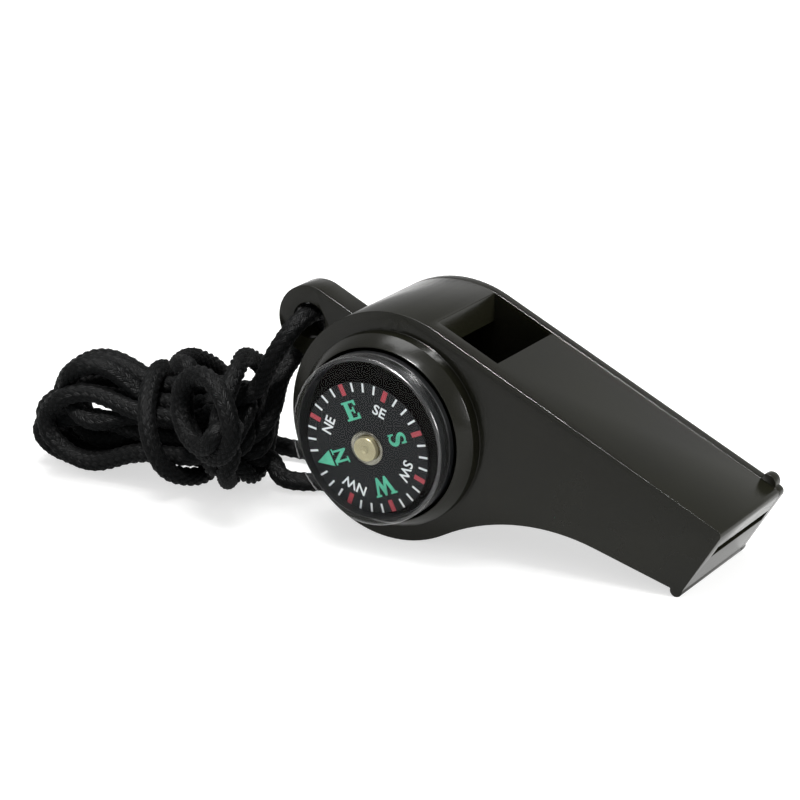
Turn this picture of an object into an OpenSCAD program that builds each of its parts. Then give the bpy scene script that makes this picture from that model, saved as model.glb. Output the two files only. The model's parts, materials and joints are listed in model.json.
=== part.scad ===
// A three-in-one survival whistle: a moulded whistle with a compass on one
// side, a thermometer on the other and a braided neck lanyard tied in a bundle.
// The whistle is drawn on its drum: x runs along the top face towards the
// mouthpiece, y runs from the compass side to the cover and z is square to
// the top face. It is then pitched until it rests on its drum and its lip.

/* [Case] */
// Outer radius of the round sound chamber
drum_r = 13.8; // [13:0.1:15]
// Width of the closed case, from the compass side to the cover's face
case_w = 16.3; // [15:0.1:20]
// Thickness of the walls round the chamber and round the pocket
wall = 1.9; // [1.6:0.1:2.2]
// Thickness of the wall on the compass side
side_wall = 2.1; // [1.9:0.1:2.8]
// Thickness of the cover
cover_t = 1.3; // [1.1:0.1:1.8]

/* [Mouthpiece] */
// Distance from the drum's axis to the top corner of the mouthpiece
mouth_x = 40.15; // [38:0.05:44]
// Depth of the mouthpiece's end, from the top face to the middle of the lip
mouth_h = 9.4; // [9:0.1:10]
// Lean of the mouthpiece's end, in degrees
mouth_lean = 6.5; // [2:0.5:10]
// Slope of the underside, in degrees
under_slope = 9.7; // [8:0.1:11]
// Radius of the concave neck between the drum and the underside
neck_r = 25.7; // [22:0.1:28]
// Radius of the rounded top edge of the mouthpiece's end
mouth_round = 0.7; // [0.4:0.05:1]
// Radius of the bead under the lip
lip_r = 0.75; // [0.6:0.05:1]
// Radius of the small nub that stands on the cover's top edge
nub_r = 1; // [0.6:0.05:1.2]
// Distance of the nub behind the top corner of the mouthpiece
nub_back = 1.95; // [1.5:0.05:3]

/* [Voicing] */
// Distance of the window's back edge behind the drum's axis
window_back = 1.2; // [0.6:0.1:2]
// Distance of the window's front wall ahead of the drum's axis
window_front = 7.45; // [6.8:0.05:8]
// Distance of the wedge's sharp tip ahead of the drum's axis
wedge_tip = 0.35; // [0:0.05:1]
// Depth of the wedge's tip below the top face
wedge_depth = 3.1; // [2.8:0.1:3.5]
// Distance behind the axis at which the wedge runs out into the wall
wedge_root = 4.5; // [4:0.1:6]
// Depth of the windway's roof below the top face
windway_depth = 3.1; // [2.8:0.1:3.3]
// Height of the windway at the window
windway_h = 1.1; // [0.9:0.1:1.3]
// Extra height of the windway at the mouth, shared by roof and floor
windway_flare = 0.4; // [0.2:0.1:0.8]
// Thickness of the floor under the windway
floor_t = 1.6; // [1.2:0.1:1.8]

/* [Lug] */
// Distance of the lug's hole behind the drum's axis
lug_x = 17.7; // [17.2:0.1:19]
// Height of the lug's hole above the drum's axis
lug_z = 1.07; // [0.5:0.01:1.5]
// Radius of the lug's round end
lug_r = 4.3; // [4:0.1:4.6]
// Thickness of the lug
lug_t = 3.5; // [3:0.1:4.5]
// Radius of the hole for the lanyard
lug_hole_r = 2.2; // [1.8:0.1:2.4]

/* [Bosses] */
// Radius of the round boss that holds a capsule
boss_r = 11.6; // [11.4:0.1:12]
// Height of the boss's straight foot
boss_foot = 1.4; // [1:0.1:2]
// Height of the boss at the edge of its seat
boss_h = 3.1; // [2.6:0.1:3.6]
// Width of the flat ring at the top of the boss
boss_rim = 0.15; // [0.1:0.05:0.3]
// Gap all round between a capsule and its seat
seat_gap = 0.33; // [0.2:0.01:0.4]
// Depth of the compass seat below the case's face
seat_depth = 0.9; // [0.6:0.1:1]
// Depth of the thermometer seat below the cover's face
cover_seat_depth = 0.4; // [0.3:0.1:0.6]

/* [Cover joint] */
// Depth of the cover's locating rib
rib_depth = 1; // [0.6:0.1:1.5]
// Thickness of the locating rib
rib_t = 1; // [0.8:0.1:1.2]
// Gap between the locating rib and the chamber wall
rib_gap = 0.1; // [0.05:0.05:0.2]

/* [Capsules] */
// Radius of both capsules
capsule_r = 10; // [9.8:0.1:10.2]
// How far a capsule's front stands out from the case
capsule_out = 5.95; // [5.8:0.05:6.4]
// Height of the clear lens above the black cup
lens_h = 2; // [1.6:0.1:2.4]
// Thickness of the lens's front
lens_t = 0.6; // [0.5:0.05:0.65]
// Wall of the cup and of the lens's skirt
cup_wall = 0.55; // [0.45:0.05:0.6]
// Thickness of the compass cup's floor
cup_floor = 0.9; // [0.7:0.1:1.2]

/* [Compass] */
// Radius of the compass card
card_r = 8; // [7.6:0.05:8.05]
// Thickness of the compass card
card_t = 0.2; // [0.15:0.05:0.25]
// Height of the card's middle above the case's face
card_h = 4.5; // [4.3:0.05:4.55]
// How far the card hangs below the capsule's axis
card_drop = 1.35; // [1.1:0.05:1.38]
// Sideways play of the pin in the card's hole, beyond the drop
pin_play = 0.25; // [0.2:0.01:0.28]
// Forward tilt of the card's top, in degrees
card_pitch = 3.4; // [0:0.1:3.6]
// Sideways tilt of the card, in degrees
card_yaw = 2.6; // [0:0.1:2.8]
// Radius of the pivot pin's shank
pin_r = 0.45; // [0.4:0.05:0.6]
// Radius of the pivot pin's blunt tip
pin_tip_r = 0.08; // [0.05:0.01:0.12]
// Height of the pivot pin's straight shank above the cup's floor
shank_h = 2.9; // [2.4:0.1:3]
// Wall of the nickel hub round the pin
hub_wall = 0.35; // [0.3:0.05:0.5]
// Height of the hub above the card
hub_h = 0.45; // [0.4:0.05:0.48]
// Thickness of the hub's top plate
hub_top = 0.15; // [0.1:0.01:0.2]
// Radius of the jewel's pale cap
cap_r = 1.35; // [1.1:0.05:1.5]
// Height of the jewel's cap above the hub
cap_h = 0.14; // [0.1:0.01:0.16]
// Length of the bar magnet under the card
magnet_l = 11; // [9:0.5:12]
// Width of the bar magnet
magnet_w = 5.2; // [4.8:0.1:6]
// Thickness of the bar magnet
magnet_t = 0.9; // [0.6:0.1:1]

/* [Thermometer] */
// Width of the step that carries the thermometer's dial
dial_step = 1.1; // [0.8:0.1:1.5]
// Height of that step above the cover's face
dial_h = 3.2; // [3:0.1:3.3]
// Thickness of the dial
dial_t = 0.4; // [0.3:0.05:0.45]
// Radius of the glass tube
tube_r = 0.7; // [0.6:0.05:0.8]
// Radius of the glass bulb
bulb_r = 0.85; // [0.8:0.01:0.86]
// Half of the tube's straight length
tube_half = 6.2; // [5.5:0.1:6.6]
// Radius of the tube's bore
bore_r = 0.28; // [0.2:0.01:0.35]
// Thickness of the bulb's glass
bulb_wall = 0.2; // [0.15:0.01:0.3]
// Height of the red column above the bulb
column_h = 7.2; // [4:0.1:10]

/* [Pea] */
// Radius of the loose ball in the chamber
pea_r = 4; // [3.6:0.1:4.4]

/* [Lanyard] */
// Diameter of the braided cord
cord_d = 2.2; // [2:0.1:2.4]
// Width of the bundle's bows, from front to back
bows_w = 13; // [11:0.1:15]
// Radius of the bundle's wrapped middle
wrap_r = 8.2; // [7.6:0.1:8.8]
// Length of the bundle's wrapped middle
wrap_l = 15.4; // [12:0.1:17]

/* [Hidden] */
$fn = 96;
cut = 1;
touch_gap = 0.05;
film = 0.01;
cord_sides = 8;

// The case's side view: drum, straight top, leaning end, underside and neck
chamber_r = drum_r - wall;
part_y = case_w - cover_t;
end_foot = [mouth_x - mouth_h * tan(mouth_lean), drum_r - mouth_h];
lip = end_foot - [0.8 * lip_r, 0];
under_z = lip[1] - lip[0] * tan(under_slope);
under_dir = [cos(under_slope), sin(under_slope)];
neck_from = [neck_r * sin(under_slope), under_z - neck_r * cos(under_slope)];
neck_along = neck_from * under_dir;
neck_run = -neck_along
    + sqrt(neck_along * neck_along - neck_from * neck_from
    + pow(drum_r + neck_r, 2));
neck = neck_from + neck_run * under_dir;
neck_foot = [neck_run * cos(under_slope), under_z + neck_run * sin(under_slope)];

// The pitch at which the drum and the lip both stand on the ground
pitch = atan2(lip[1], lip[0]) + asin((drum_r - lip_r) / norm(lip));
corner = [mouth_x, drum_r];
corner_run = mouth_round / tan(45 - mouth_lean / 2);
round_mid = corner - [corner_run, mouth_round];
nub = corner - [nub_back, 0];
front_x = round_mid[0] * cos(pitch) + round_mid[1] * sin(pitch) + mouth_round;
back_x = -lug_x * cos(pitch) + lug_z * sin(pitch) - lug_r;
mid_x = (front_x + back_x) / 2;

// Heights in the windway
roof_z = drum_r - windway_depth;
sill_z = roof_z - windway_h;
pocket_z = sill_z - floor_t;

// The seats, the cups and what is in them
seat_r = capsule_r + seat_gap;
cup_r = capsule_r - cup_wall;
seam_h = capsule_out - lens_h;
glass_h = capsule_out - lens_t;
cup_base = cup_floor - seat_depth;
hub_hole_r = card_drop + pin_play;
hub_r = hub_hole_r + hub_wall;
pin_tip_h = card_h + card_t / 2 + hub_h - hub_top
    + card_drop * sin(card_pitch) - touch_gap - pin_tip_r;
tube_h = dial_h + dial_t + bulb_r + touch_gap;
bulb_z = -tube_half;

// The lanyard's place on the ground, and the route of its free stretches
bundle_y = -3.6;
wrap_x = -41.1;
inner_x = wrap_x - wrap_l / 2;
bow_r = 7.6;
bow_x = inner_x - bow_r;
bow_end_r = 3.6;
bow_end_x = -62.9;
bow_end_h = 5.4;
LEAD = [[-35.7, -4, 10.4], [-33.1, -4.2, 13.2], [-31.5, -4.3, 15.4],
    [-30.3, -4.6, 17.6], [-28.9, -4.4, 19.8], [-27.6, -3.2, 21.6],
    [-26.8, -1.5, 22.3], [-26.5, 0, 22.5], [-26.7, 1.5, 22.4],
    [-27.1, 2.6, 22], [-27.9, 3.4, 21.1], [-29.1, 3.4, 19.4],
    [-30.6, 2.2, 17.2], [-31.6, 0.4, 15.2], [-31.9, -1, 13.2],
    [-32, -1.4, 11], [-33.3, -2, 8.6], [-35.1, -3, 6.6]];
TAIL = [[-36.7, 0.8, 3.6], [-33.7, 0, 1.8], [-30.7, -0.4, 1.2],
    [-27.7, 0.8, 1.15], [-24.9, 3.4, 1.15], [-24.7, 6.8, 1.15],
    [-27.3, 8.8, 1.15], [-31.2, 9, 1.15], [-35.7, 9.3, 1.15],
    [-38.7, 8.6, 1.6], [-40.1, 6.4, 3], [-40.6, 3.4, 5]];

// Frames of reference

// Pitches the whistle on its drum and lip, over the middle of its length
module rested() {
    translate([-mid_x, -case_w / 2, drum_r]) rotate([0, pitch, 0])
        children();
}

// Turns a drawing in x and z into a slab between two places across the case
module across(from_y, to_y) {
    translate([0, to_y, 0]) rotate([90, 0, 0])
        linear_extrude(to_y - from_y) children();
}

// Faces outwards from the compass side, with z as the height above the case
module compass_side() {
    rested() rotate([90, 0, 0]) children();
}

// Faces outwards from the cover, with z as the height above the cover
module cover_side() {
    rested() translate([0, case_w, 0]) rotate([-90, 0, 0])
        mirror([1, 0, 0]) rotate([0, 0, 180]) children();
}

// The compass card's own frame, hanging low and tilted on its pin
module on_card() {
    compass_side() translate([0, -card_drop, card_h])
        rotate([card_pitch, card_yaw, 0]) children();
}

// The case

module side_view() {
    difference() {
        polygon([[0, 0], neck, neck_foot, lip, end_foot,
            corner - corner_run * [sin(mouth_lean), cos(mouth_lean)],
            corner - [corner_run, 0], [0, drum_r]]);
        translate(neck) circle(neck_r);
    }
    circle(drum_r);
    translate(round_mid) circle(mouth_round);
    translate(lip) circle(lip_r);
}

// The closed pocket that lightens the mouthpiece under the windway
module pocket_view() {
    low = under_z + wall / cos(under_slope);
    end_x = end_foot[0] - wall;
    difference() {
        polygon([[0, pocket_z], [0, low],
            [end_x, low + end_x * tan(under_slope)], [end_x, pocket_z]]);
        circle(drum_r);
        translate(neck) circle(neck_r + wall);
    }
}

// The wedge that splits the air, behind the window
module wedge_view() {
    polygon([[-window_back, drum_r], [wedge_tip, drum_r - wedge_depth],
        [-wedge_root, sqrt(pow(chamber_r, 2) - pow(wedge_root, 2))],
        [-wedge_root, chamber_r + wall / 2], [-window_back, chamber_r + wall / 2]]);
}

module chamber_view() {
    difference() {
        union() {
            circle(chamber_r);
            translate([-window_back, 0])
                square([window_back + window_front, drum_r + cut]);
        }
        wedge_view();
    }
}

module windway_view() {
    flare = windway_flare / 2;
    polygon([[window_front - cut, sill_z], [window_front - cut, roof_z],
        [window_front, roof_z], [mouth_x + cut, roof_z + flare],
        [mouth_x + cut, sill_z - flare], [window_front, sill_z]]);
}

module lug_view() {
    translate([-lug_x, lug_z]) {
        circle(lug_r);
        translate([0, -lug_r]) square([lug_x - chamber_r, 2 * lug_r]);
    }
}

// A round boss with a straight foot and a sloped shoulder
module boss() {
    cylinder(h = boss_foot, r = boss_r);
    translate([0, 0, boss_foot])
        cylinder(h = boss_h - boss_foot, r1 = boss_r, r2 = seat_r + boss_rim);
}

module main_moulding() {
    color("#35352b") rested() difference() {
        union() {
            across(0, part_y) side_view();
            across((case_w - lug_t) / 2, (case_w + lug_t) / 2) lug_view();
            rotate([90, 0, 0]) boss();
        }
        across(side_wall, case_w) chamber_view();
        across(side_wall, case_w) windway_view();
        across(side_wall, case_w) pocket_view();
        translate([0, seat_depth, 0]) rotate([90, 0, 0])
            cylinder(h = seat_depth + boss_h + cut, r = seat_r);
        translate([-lug_x, case_w / 2 + lug_t, lug_z]) rotate([90, 0, 0])
            cylinder(h = 2 * lug_t, r = lug_hole_r);
    }
}

module side_cover() {
    rib_r = chamber_r - rib_gap;
    color("#3b3b31") rested() difference() {
        union() {
            across(part_y, case_w) {
                side_view();
                translate(nub) circle(nub_r);
            }
            across(part_y - rib_depth, part_y) difference() {
                circle(rib_r);
                circle(rib_r - rib_t);
                translate([-wedge_root - cut, 0])
                    square([2 * drum_r, drum_r]);
            }
            translate([0, case_w, 0]) rotate([-90, 0, 0]) boss();
        }
        translate([0, case_w - cover_seat_depth, 0]) rotate([-90, 0, 0])
            cylinder(h = cover_seat_depth + boss_h + cut, r = seat_r);
    }
}

// The loose ball lies at the bottom of the chamber
module pea() {
    color("#8a6b45")
        translate([-mid_x, (side_wall + part_y - case_w) / 2,
            drum_r - chamber_r + pea_r + touch_gap])
        sphere(pea_r);
}

// The capsules

module lens() {
    difference() {
        translate([0, 0, seam_h]) cylinder(h = lens_h, r = capsule_r);
        translate([0, 0, seam_h - cut])
            cylinder(h = cut + lens_h - lens_t, r = cup_r);
    }
}

module compass_cup() {
    post_r = 3 * pin_r;
    post_h = 2 * pin_r;
    color("#151517") compass_side() difference() {
        translate([0, 0, -seat_depth])
            cylinder(h = seam_h + seat_depth, r = capsule_r);
        difference() {
            translate([0, 0, cup_base]) cylinder(h = seam_h, r = cup_r);
            translate([0, 0, cup_base]) cylinder(h = post_h, r = post_r);
        }
        translate([0, 0, cup_base])
            cylinder(h = seam_h, r = pin_r + touch_gap);
    }
}

module compass_lens() {
    color([0.9, 0.95, 0.95, 0.3]) compass_side() lens();
}

module pivot_pin() {
    color("#b8bcc0") compass_side() translate([0, 0, cup_base]) {
        cylinder(h = shank_h, r = pin_r);
        translate([0, 0, shank_h])
            cylinder(h = pin_tip_h - cup_base - shank_h,
                r1 = pin_r, r2 = pin_tip_r);
    }
}

module compass_card() {
    color("#1a1b1c") on_card() difference() {
        translate([0, 0, -card_t / 2]) cylinder(h = card_t, r = card_r);
        translate([0, 0, -card_t]) cylinder(h = 2 * card_t, r = hub_hole_r);
    }
}

module card_hub() {
    color("#b9bcb8") on_card() translate([0, 0, card_t / 2]) difference() {
        cylinder(h = hub_h, r = hub_r);
        translate([0, 0, -cut])
            cylinder(h = cut + hub_h - hub_top, r = hub_hole_r);
    }
}

module jewel_cap() {
    color("#d8cfae") on_card() translate([0, 0, card_t / 2 + hub_h])
        cylinder(h = cap_h, r = cap_r);
}

module card_magnet() {
    color("#4a4c50") on_card() translate([0, 0, -card_t / 2 - magnet_t])
        linear_extrude(magnet_t) difference() {
            union() {
                square([magnet_l - magnet_w, magnet_w], center = true);
                for (side = [-1, 1])
                    translate([side * (magnet_l - magnet_w) / 2, 0])
                        circle(d = magnet_w);
            }
            circle(hub_hole_r + 2 * pin_r / 3);
        }
}

module thermometer_cup() {
    base = cup_floor - cover_seat_depth;
    color("#151517") cover_side() difference() {
        translate([0, 0, -cover_seat_depth])
            cylinder(h = seam_h + cover_seat_depth, r = capsule_r);
        translate([0, 0, base]) cylinder(h = seam_h, r = cup_r - dial_step);
        translate([0, 0, dial_h]) cylinder(h = seam_h, r = cup_r);
    }
}

module thermometer_lens() {
    color([0.9, 0.95, 0.95, 0.3]) cover_side() lens();
}

module thermometer_dial() {
    color("#1a1b1c") cover_side() translate([0, 0, dial_h])
        cylinder(h = dial_t, r = cup_r - touch_gap);
}

// The tube lies up the dial, with its bulb at the foot
module thermometer_tube() {
    color([0.85, 0.9, 0.92, 0.5]) cover_side()
        translate([0, bulb_z, tube_h]) rotate([-90, 0, 0]) difference() {
            union() {
                sphere(bulb_r);
                cylinder(h = 2 * tube_half, r = tube_r);
                translate([0, 0, 2 * tube_half]) sphere(tube_r);
            }
            sphere(bulb_r - bulb_wall);
            cylinder(h = 2 * tube_half - tube_r, r = bore_r);
        }
}

module thermometer_spirit() {
    color("#c3241c") cover_side()
        translate([0, bulb_z, tube_h]) rotate([-90, 0, 0]) {
            sphere(bulb_r - bulb_wall - film);
            cylinder(h = column_h, r = bore_r - film);
        }
}

// The lanyard

function unit(v) = v / norm(v);
function heading(p, i) =
    unit(p[min(i + 1, len(p) - 1)] - p[max(i - 1, 0)]);
// The first side vector, and its copy carried along without twist
function start_side(t) = unit(cross(t, [0.2, 0.3, 1]));
function carried(p, i) = i == 0 ? start_side(heading(p, 0))
    : let (t = heading(p, i), s = carried(p, i - 1)) unit(s - (s * t) * t);

// A tube of flat sides along the points of a route
module tube(p, r) {
    rings = len(p);
    points = [for (i = [0:rings - 1])
        let (t = heading(p, i), s = carried(p, i), q = cross(t, s))
        for (k = [0:cord_sides - 1])
            p[i] + r * (cos(k * 360 / cord_sides) * s
                + sin(k * 360 / cord_sides) * q)];
    walls = [for (i = [0:rings - 2]) for (k = [0:cord_sides - 1])
        let (n = (k + 1) % cord_sides)
        [i * cord_sides + k, i * cord_sides + n,
            (i + 1) * cord_sides + n, (i + 1) * cord_sides + k]];
    first = [for (k = [cord_sides - 1:-1:0]) k];
    last = [for (k = [0:cord_sides - 1]) (rings - 1) * cord_sides + k];
    polyhedron(points, [for (f = concat(walls, [first, last]))
        [for (k = [len(f) - 1:-1:0]) f[k]]]);
}

module lanyard_lead() {
    color("#1b1b1d") tube(LEAD, cord_d / 2);
}

module lanyard_tail() {
    color("#1b1b1d") tube(TAIL, cord_d / 2);
}

// The bows that fan out of the bundle's left end
module lanyard_bows() {
    front = bundle_y - bows_w / 2;
    color("#1b1b1d") across(front, front + bows_w) {
        hull() {
            translate([bow_x, bow_r]) circle(bow_r, $fn = 32);
            translate([bow_end_x, bow_end_h]) circle(bow_end_r, $fn = 32);
        }
        polygon([[bow_x, 0], [inner_x, 0], [inner_x, 2 * bow_r - cord_d],
            [bow_x, 2 * bow_r]]);
    }
}

// The cord wound round the bundle's middle
module lanyard_wrap() {
    round_in = cord_d / 2;
    color("#1b1b1d") translate([inner_x, bundle_y, wrap_r])
        rotate([0, 90, 0]) rotate_extrude() {
            square([wrap_r - round_in, wrap_l]);
            translate([0, round_in]) square([wrap_r, wrap_l - 2 * round_in]);
            for (end_y = [round_in, wrap_l - round_in])
                translate([wrap_r - round_in, end_y]) circle(round_in);
        }
}

main_moulding();
side_cover();
pea();
compass_cup();
compass_lens();
pivot_pin();
compass_card();
card_hub();
jewel_cap();
card_magnet();
thermometer_cup();
thermometer_lens();
thermometer_dial();
thermometer_tube();
thermometer_spirit();
lanyard_lead();
lanyard_bows();
lanyard_wrap();
lanyard_tail();
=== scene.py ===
import json
import math
import bpy
import bmesh
import numpy as np
from mathutils import Matrix, Vector


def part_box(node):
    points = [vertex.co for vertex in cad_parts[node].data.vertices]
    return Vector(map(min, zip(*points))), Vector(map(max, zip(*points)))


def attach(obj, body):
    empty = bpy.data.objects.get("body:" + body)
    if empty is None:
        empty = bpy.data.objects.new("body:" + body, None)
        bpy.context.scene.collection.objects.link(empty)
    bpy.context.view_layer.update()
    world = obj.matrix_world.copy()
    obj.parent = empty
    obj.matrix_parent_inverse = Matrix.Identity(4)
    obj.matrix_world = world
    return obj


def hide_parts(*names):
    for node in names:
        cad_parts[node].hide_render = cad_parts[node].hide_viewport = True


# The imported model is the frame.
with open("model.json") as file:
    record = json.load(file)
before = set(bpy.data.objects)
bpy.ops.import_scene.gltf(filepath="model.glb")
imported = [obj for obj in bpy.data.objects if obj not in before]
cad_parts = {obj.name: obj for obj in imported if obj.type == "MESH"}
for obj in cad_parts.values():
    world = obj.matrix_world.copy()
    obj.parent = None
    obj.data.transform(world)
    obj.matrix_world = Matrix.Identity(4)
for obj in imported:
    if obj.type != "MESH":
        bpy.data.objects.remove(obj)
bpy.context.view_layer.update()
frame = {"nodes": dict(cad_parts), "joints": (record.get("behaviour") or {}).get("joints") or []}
nodes = frame["nodes"]
MM = 0.001

# Camera and studio: a long lens a little above the whistle, white paper with
# a faint glow that keeps the shadows light, a pale surround, a soft box
# overhead and a lamp on the mouth's side.
VIEW_FROM = (0.16544, -0.28800, 0.13006)
VIEW_TURN, VIEW_DOWN, VIEW_ROLL = 32.082, 18.856, -1.156
LENS_MM = 137.19


def linear(code):
    """An sRGB hex colour as linear light: c / 12.92 when dark, else ((c + 0.055) / 1.055) ** 2.4."""
    parts = [int(code[i:i + 2], 16) / 255 for i in (1, 3, 5)]
    return [c / 12.92 if c <= 0.04045 else ((c + 0.055) / 1.055) ** 2.4 for c in parts] + [1.0]


def add(material, kind, links=(), **values):
    """Adds one shader node, sets its properties and sockets by name and links (source, output, input) to it."""
    made = material.node_tree.nodes.new(kind)
    for name, value in values.items():
        socket = made.inputs.get(name.replace("_", " ")) if name[0].isupper() else None
        if socket is not None:
            socket.default_value = value
        else:
            setattr(made, name, value)
    for source, output, target in links:
        material.node_tree.links.new(source.outputs[output], made.inputs[target])
    return made


def blank_material(name):
    """An empty node material and its output node."""
    material = bpy.data.materials.new(name)
    material.use_nodes = True
    material.node_tree.nodes.clear()
    return material, add(material, "ShaderNodeOutputMaterial")


def put(name, verts, faces, material, body=None):
    """Makes a smooth mesh from arrays of points and faces, and lets it ride on a body."""
    mesh = bpy.data.meshes.new(name)
    mesh.from_pydata(np.asarray(verts).tolist(), [], [list(map(int, f)) for f in faces])
    mesh.materials.append(material)
    mesh.shade_smooth()
    piece = bpy.data.objects.new(name, mesh)
    bpy.context.scene.collection.objects.link(piece)
    if body:
        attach(piece, body)
    return piece


camera_data = bpy.data.cameras.new("camera")
camera_data.lens = LENS_MM
camera_data.sensor_width = 36
camera_data.clip_start = 0.01
camera = bpy.data.objects.new("camera", camera_data)
bpy.context.scene.collection.objects.link(camera)
aim = (Matrix.Rotation(math.radians(VIEW_TURN), 4, "Z")
       @ Matrix.Rotation(math.radians(90 - VIEW_DOWN), 4, "X")
       @ Matrix.Rotation(math.radians(VIEW_ROLL), 4, "Z"))
camera.matrix_world = Matrix.Translation(VIEW_FROM) @ aim
bpy.context.scene.camera = camera
bpy.context.scene.view_settings.view_transform = "Standard"

sweep_mat, sweep_out = blank_material("matt_white_paper_sweep")
sweep_skin = add(sweep_mat, "ShaderNodeBsdfDiffuse", Color=linear("#cbcbca"))
sweep_glow = add(sweep_mat, "ShaderNodeEmission", Color=linear("#ffffff"), Strength=0.62)
sweep_both = add(sweep_mat, "ShaderNodeAddShader", [(sweep_skin, 0, 0), (sweep_glow, 0, 1)])
sweep_mat.node_tree.links.new(sweep_both.outputs[0], sweep_out.inputs[0])
SWEEP_HALF = 3.0
sweep = put("sweep", [(x * SWEEP_HALF, y * SWEEP_HALF, 0) for x, y in ((-1, -1), (1, -1), (1, 1), (-1, 1))],
            [(0, 1, 2, 3)], sweep_mat)

world = bpy.data.worlds.new("pale_surround")
world.use_nodes = True
world.node_tree.nodes["Background"].inputs["Color"].default_value = (1, 1, 1, 1)
world.node_tree.nodes["Background"].inputs["Strength"].default_value = 0.6
bpy.context.scene.world = world


def soft_box(name, place, towards, size, watts):
    """A square area lamp at a place, turned towards a point."""
    data = bpy.data.lights.new(name, "AREA")
    data.size = size
    data.energy = watts
    lamp = bpy.data.objects.new(name, data)
    lamp.location = place
    lamp.rotation_euler = (Vector(towards) - Vector(place)).to_track_quat("-Z", "Y").to_euler()
    bpy.context.scene.collection.objects.link(lamp)
    return lamp


soft_box("soft_box_top", (-0.15, 0.1, 0.8), (0, 0, 0.01), 0.4, 4.4)
# Seen only as a mirror image: it draws the bright line along the near edges
soft_box("lamp_front", (0.05, -0.31, 0.51), (0, 0, 0.01), 0.07, 18.0).visible_diffuse = False
soft_box("lamp_right", (0.6, 0.1, 0.2), (0.02, 0, 0.01), 0.2, 4.4)

# Lanyard: one braided black cord, 2.2 mm thick, from the lug's hole through
# a bundle of bows, a loop on the ground, three turns and a ring tied round
# the middle, and back into the lug's hole. It rests on the ground.
CORD_D = 0.0022
CORD_STEP = 0.001
LEAD_NEAR = [(-.0269, 0, .0231), (-.0270, -.0015, .0230), (-.0276, -.0032, .0222),
             (-.0289, -.0044, .0198), (-.0303, -.0046, .0176), (-.0315, -.0043, .0154),
             (-.0331, -.0042, .0132)]
LEAD_FAR = [(-.0351, -.0030, .0066), (-.0333, -.0020, .0086), (-.0320, -.0014, .0110),
            (-.0319, -.0010, .0132), (-.0316, .0004, .0152), (-.0306, .0022, .0172),
            (-.0291, .0034, .0194), (-.0282, .0036, .0213), (-.0274, .0028, .0225),
            (-.0270, .0015, .0230), (-.0269, 0, .0231)]
GROUND_LOOP = [(-.0367, .0008, .0036), (-.0337, 0, .0018), (-.0307, -.0004, .0012),
               (-.0277, .0008, .00115), (-.0249, .0034, .00115), (-.0247, .0068, .00115),
               (-.0273, .0088, .00115), (-.0312, .0090, .00115), (-.0357, .0093, .00115),
               (-.0387, .0086, .0016), (-.0401, .0064, .0030)]
BUNDLE_Y = -0.0036
BUNDLE_Z = 0.0083
BUNDLE_SINK = 0.001
COLUMN = CORD_D * 0.925
# Each bow: its column in the bundle, the heights of its two ends there, its
# highest and lowest point, its length and the place across of its left end
BOWS = [(-1, .0032, .0010, .0146, .0068, .0110, -.0084),
        (-2, .0021, -.0031, .0110, .0018, .0134, -.0086),
        (0, .0050, 0, .0139, .0034, .0136, -.0050),
        (-1, -.00115, -.0035, .0070, .0012, .0164, -.0066),
        (0, .0022, -.0045, .0090, .0012, .0176, -.0042),
        (1, .0033, -.00115, .0134, .0036, .0155, -.0020),
        (1, .00115, -.0035, .0095, .0012, .0175, -.0014),
        (2, .0023, -.0023, .0115, .0012, .0160, .0012)]
BOW_FOOT_X = -0.0482
LOOP_AFTER = 4
RING_AT = np.array([-.0351, -.0116, .0126])
RING_ALONG = np.array([.93, -.36, 0])
RING_OUT = np.array([-.36, -.93, 0])
UP = np.array([0, 0, 1.0])


def in_bundle(across, height, x):
    """A point of a run in the bundle, whose middle sinks by BUNDLE_SINK between x -37.7 and -43.7 mm."""
    sink = BUNDLE_SINK * min(max((-0.0377 - x) / 0.006, 0), 1)
    return (x, BUNDLE_Y + across, BUNDLE_Z - sink + height)


def bow(across, top, foot, high, low, length, left):
    """Nine points of a loop: out along its upper edge, round its left end and back along its lower edge."""
    z0 = in_bundle(0, 0, BOW_FOOT_X)[2]
    y0 = BUNDLE_Y + across
    tall = high - low
    shape = [(0, z0 + top, 0), (.33, z0 + top + .75 * (high - z0 - top), .35), (.6, high, .7),
             (.86, high - .22 * tall, .95), (1, (high + low) / 2, 1), (.88, low + .22 * tall, .95),
             (.62, low, .7), (.33, z0 + foot - .75 * (z0 + foot - low), .35), (0, z0 + foot, 0)]
    return [(BOW_FOOT_X - out * length, y0 + side * (left - y0), z) for out, z, side in shape]


def turn(start, end, xs, radii, count):
    """Points of a turn round the bundle, from angle start to end, 0 at the top and 90 in front."""
    share = np.linspace(0, 1, count)
    angle = np.radians(start + (end - start) * share)
    x = np.interp(share, np.linspace(0, 1, len(xs)), xs)
    r = np.interp(share, np.linspace(0, 1, len(radii)), radii)
    return [(p, BUNDLE_Y - 1.05 * q * math.sin(a), in_bundle(0, 0, p)[2] + q * math.cos(a))
            for p, q, a in zip(x, r, angle)]


def ring_point(degrees, radius, out):
    """A point of the ring in front of the bundle: a circle in the plane of RING_ALONG and UP."""
    a = math.radians(degrees)
    return tuple(RING_AT + radius * (math.cos(a) * RING_ALONG + math.sin(a) * UP) + out * RING_OUT)


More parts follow.
